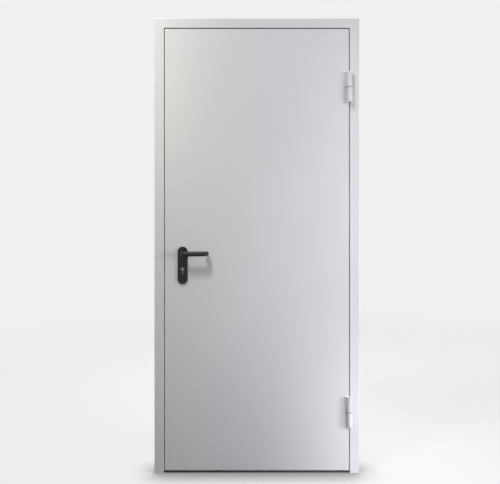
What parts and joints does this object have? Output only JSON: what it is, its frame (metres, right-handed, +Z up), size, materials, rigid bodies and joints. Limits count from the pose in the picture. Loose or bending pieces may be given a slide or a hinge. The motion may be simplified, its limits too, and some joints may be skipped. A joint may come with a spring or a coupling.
{
  "type": "steel fire door",
  "caption": "Single-leaf rebated steel fire door in a folded steel frame, with weld-on hinges, a U-shaped lever on a long plate and a profile cylinder.",
  "frame": {"origin": "on the wall plane, at floor level, at the outer edge of the hinge-side casing (its back edge)", "axes": "+Z up; +Y into the wall, away from the room that the leaf opens into; +X away from the doorway, so the doorway runs along -X"},
  "size_m": [0.946, 0.176, 2.1],
  "materials": {
    "light_grey_powder_coat": "fine textured powder coat",
    "black_plastic": "black moulded plastic over steel, satin",
    "black_rubber": "matt",
    "graphite_strip": "matt graphite sheet",
    "brushed_stainless": "brushed lengthways",
    "zinc_plated_steel": "bright zinc",
    "bearing_steel": "dark ground steel",
    "mineral_wool": "pressed mineral wool board",
    "mill_aluminium": "extruded, plain",
    "nickel_plate": "dark satin nickel",
    "dull_nickel": "blackened nickel"
  },
  "bodies": {
    "frame": {"hinge_jamb": "light_grey_powder_coat", "lock_jamb": "light_grey_powder_coat", "head": "light_grey_powder_coat", "seal_hinge_side": "black_rubber", "seal_lock_side": "black_rubber", "seal_head": "black_rubber", "fire_strip_hinge_side": "graphite_strip", "fire_strip_lock_side": "graphite_strip", "fire_strip_head": "graphite_strip", "strike_plate": "brushed_stainless", "strike_box": "zinc_plated_steel", "lower_hinge_frame_knuckle": "light_grey_powder_coat", "upper_hinge_frame_knuckle": "light_grey_powder_coat", "lower_hinge_pin": "zinc_plated_steel", "upper_hinge_pin": "zinc_plated_steel", "lower_hinge_bearing": "bearing_steel", "upper_hinge_bearing": "bearing_steel"},
    "leaf": {"leaf_front_skin": "light_grey_powder_coat", "leaf_rear_skin": "light_grey_powder_coat", "front_core_board": "mineral_wool", "leaf_core": "mineral_wool", "drop_seal_housing": "mill_aluminium", "drop_seal_lip": "black_rubber", "lock_case": "zinc_plated_steel", "lock_faceplate": "brushed_stainless", "latch_bolt": "zinc_plated_steel", "dead_bolt": "zinc_plated_steel", "lock_cylinder": "dull_nickel", "cylinder_plug_front": "nickel_plate", "cylinder_plug_rear": "nickel_plate", "front_backplate": "black_plastic", "rear_backplate": "black_plastic", "front_handle_bush": "black_plastic", "rear_handle_bush": "black_plastic", "lower_hinge_leaf_knuckle": "light_grey_powder_coat", "upper_hinge_leaf_knuckle": "light_grey_powder_coat", "lower_dog_bolt": "zinc_plated_steel", "upper_dog_bolt": "zinc_plated_steel"},
    "levers": {"front_lever": "black_plastic", "rear_lever": "black_plastic", "spindle": "zinc_plated_steel", "lock_follower": "zinc_plated_steel"}
  },
  "joints": [
    {"name": "leaf_swing", "type": "hinge", "parent": "frame", "child": "leaf", "pos_m": [-0.04575, -0.025, 1.03], "axis": [0, 0, 1], "range_deg": [0, 175]},
    {"name": "lever_turn", "type": "hinge", "parent": "leaf", "child": "levers", "pos_m": [-0.8155, 0.018, 1.014], "axis": [0, 1, 0], "range_deg": [0, 40], "stiffness_Nm_per_rad": 1.2, "springref_deg": -34.38}
  ]
}
